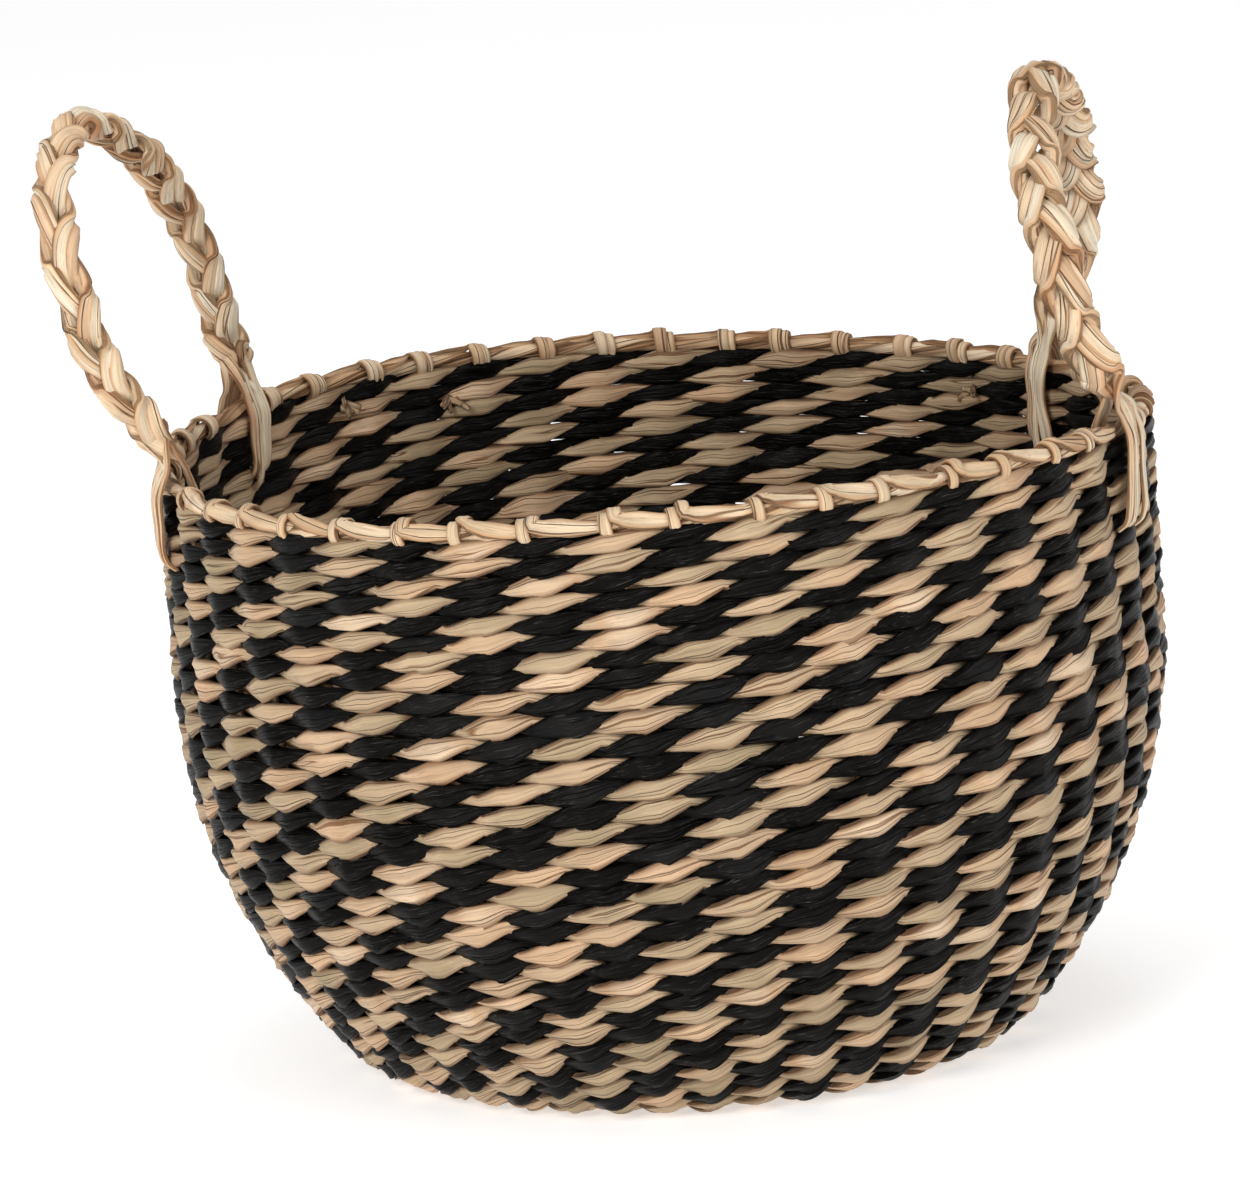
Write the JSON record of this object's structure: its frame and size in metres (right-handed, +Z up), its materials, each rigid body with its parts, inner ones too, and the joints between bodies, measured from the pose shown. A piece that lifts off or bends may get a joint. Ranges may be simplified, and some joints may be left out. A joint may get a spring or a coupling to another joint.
{
  "type": "woven market basket",
  "caption": "Round twined rush basket in natural and black, with a knotted rim cord and braided carrying handles that fold at the rim.",
  "frame": {"origin": "centre of the flat base, on the surface that the basket stands on", "axes": "+Z up through the open mouth; the handles stand at -X and +X; +Y is towards the back"},
  "size_m": [0.3848, 0.3526, 0.3463],
  "materials": {
    "wall_weft": "twined natural and black rush blades, matt with a slight waxy sheen",
    "base_weft": "twined natural rush, matt",
    "stake": "flat natural rush blades, matt, lengthwise grain",
    "rim": "twisted natural rush cord with a knot at each stake",
    "handle": "braided natural rush bundles, dry and creased, slight sheen"
  },
  "bodies": {
    "basket": {"base_hub": "base_weft", "base_weave_under": "base_weft", "base_weave_top": "base_weft", "stakes_main": "stake", "stakes_added": "stake", "wall_weave_outer": "wall_weft", "wall_weave_inner": "wall_weft", "rim_cord": "rim", "rim_loops": "rim", "left_front_tails": "handle", "left_back_tails": "handle", "right_front_tails": "handle", "right_back_tails": "handle"},
    "left_handle": {"left_strand_a": "handle", "left_strand_b": "handle", "left_strand_c": "handle"},
    "right_handle": {"right_strand_a": "handle", "right_strand_b": "handle", "right_strand_c": "handle"}
  },
  "joints": [
    {"name": "left_handle_fold", "type": "hinge", "parent": "basket", "child": "left_handle", "pos_m": [-0.15773, 0.02611, 0.22828], "axis": [0.1633, 0.9866, 0], "range_deg": [-55, 75]},
    {"name": "right_handle_fold", "type": "hinge", "parent": "basket", "child": "right_handle", "pos_m": [0.15135, 0.01138, 0.22828], "axis": [0.075, -0.9972, 0], "range_deg": [-65, 55]}
  ]
}
